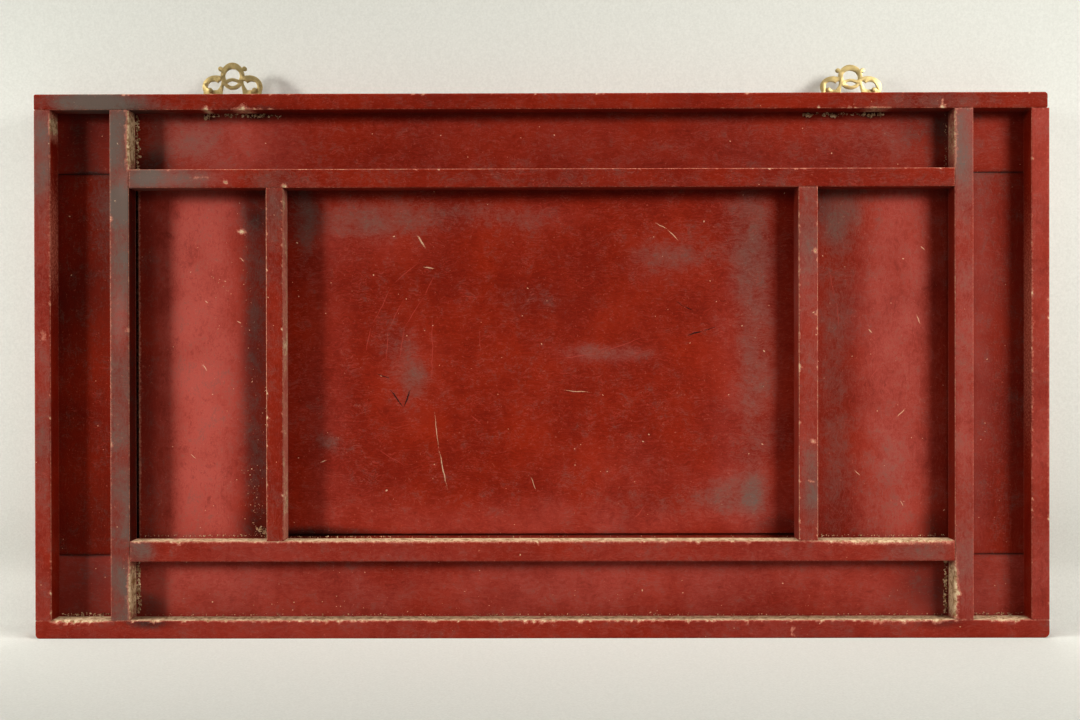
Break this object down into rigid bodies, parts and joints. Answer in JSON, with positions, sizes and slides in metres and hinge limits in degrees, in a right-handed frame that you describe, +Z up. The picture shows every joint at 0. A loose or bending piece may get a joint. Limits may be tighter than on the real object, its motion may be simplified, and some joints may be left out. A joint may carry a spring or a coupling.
{
  "type": "red lacquered framed door panel with brass hangers",
  "caption": "Wide framed wooden door panel in worn red lacquer: a flat lattice stands proud of recessed boards, and pierced brass hangers rise behind the top rail.",
  "frame": {"origin": "on the back of the top rail, halfway along the panel and halfway up the rail, where the panel lies against the wall", "axes": "+X to the viewer's right along the panel, +Y through the panel's back into the wall, +Z up"},
  "size_m": [0.89, 0.034, 0.5124],
  "materials": {
    "frame_lacquer": "worn satin red lacquer over gesso, dusty, pale where the edges are chipped",
    "lattice_lacquer": "worn satin red lacquer over gesso, with grey dust",
    "board_lacquer": "satin red lacquer with the grain of the boards showing through",
    "hanger_brass": "old cast brass, dulled",
    "nail_brass": "old brass, dulled"
  },
  "bodies": {
    "root": {"frame_top_rail": "frame_lacquer", "frame_bottom_rail": "frame_lacquer", "frame_left_stile": "frame_lacquer", "frame_right_stile": "frame_lacquer", "inner_stile_left": "lattice_lacquer", "inner_stile_right": "lattice_lacquer", "inner_rail_top": "lattice_lacquer", "inner_rail_bottom": "lattice_lacquer", "short_stile_left": "lattice_lacquer", "short_stile_right": "lattice_lacquer", "board_top": "board_lacquer", "board_bottom": "board_lacquer", "board_left": "board_lacquer", "board_right": "board_lacquer", "field_left": "board_lacquer", "field_centre": "board_lacquer", "field_right": "board_lacquer", "hanger_left": "hanger_brass", "hanger_right": "hanger_brass", "hanger_left_nail_1": "nail_brass", "hanger_left_nail_2": "nail_brass", "hanger_right_nail_1": "nail_brass", "hanger_right_nail_2": "nail_brass"}
  },
  "joints": []
}
